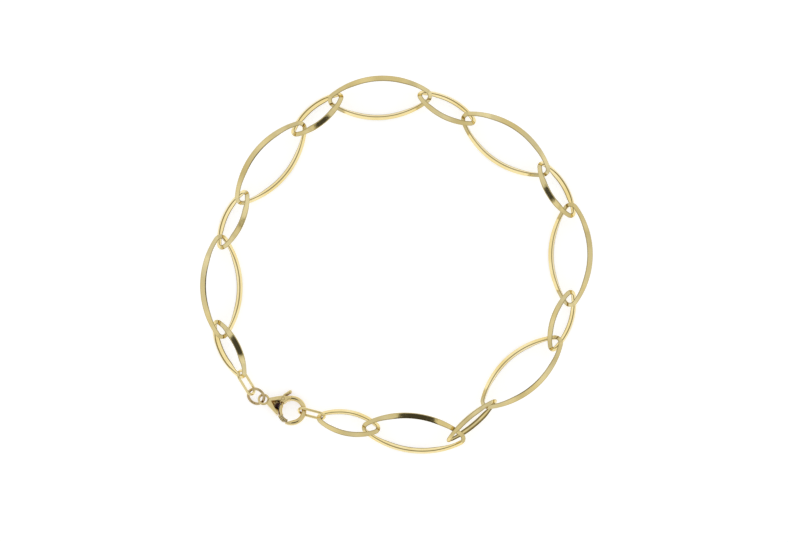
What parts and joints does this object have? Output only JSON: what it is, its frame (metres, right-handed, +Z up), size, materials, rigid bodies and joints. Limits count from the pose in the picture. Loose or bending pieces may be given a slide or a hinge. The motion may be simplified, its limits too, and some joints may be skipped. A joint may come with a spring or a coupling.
{
  "type": "link bracelet",
  "caption": "Bracelet of large and small pointed oval links of square wire, hooked in turn and closed by a lobster clasp on a jump ring.",
  "frame": {"origin": "centre of the closed loop's box, on the surface it lies on", "axes": "+Z up from the surface, +X across the loop to the side opposite the clasp, +Y to the top of the picture"},
  "size_m": [0.0678, 0.0658, 0.0049],
  "materials": {
    "gold": "polished yellow gold"
  },
  "bodies": {
    "chain": {"large_link_1": "gold", "large_link_2": "gold", "large_link_3": "gold", "large_link_4": "gold", "large_link_5": "gold", "large_link_6": "gold", "large_link_7": "gold", "small_link_1": "gold", "small_link_2": "gold", "small_link_3": "gold", "small_link_4": "gold", "small_link_5": "gold", "small_link_6": "gold", "small_link_7": "gold", "small_link_8": "gold", "connector_link_1": "gold", "connector_link_2": "gold", "jump_ring": "gold", "clasp_body": "gold", "clasp_rivet": "gold"},
    "lever": {"clasp_lever": "gold"}
  },
  "joints": [
    {"name": "clasp_lever_hinge", "type": "hinge", "parent": "chain", "child": "lever", "pos_m": [-0.01974, -0.0233, 0.00101], "axis": [0.039, 0.2938, 0.9551], "range_deg": [0, 25], "stiffness_Nm_per_rad": 0.002, "springref_deg": -11.46}
  ]
}
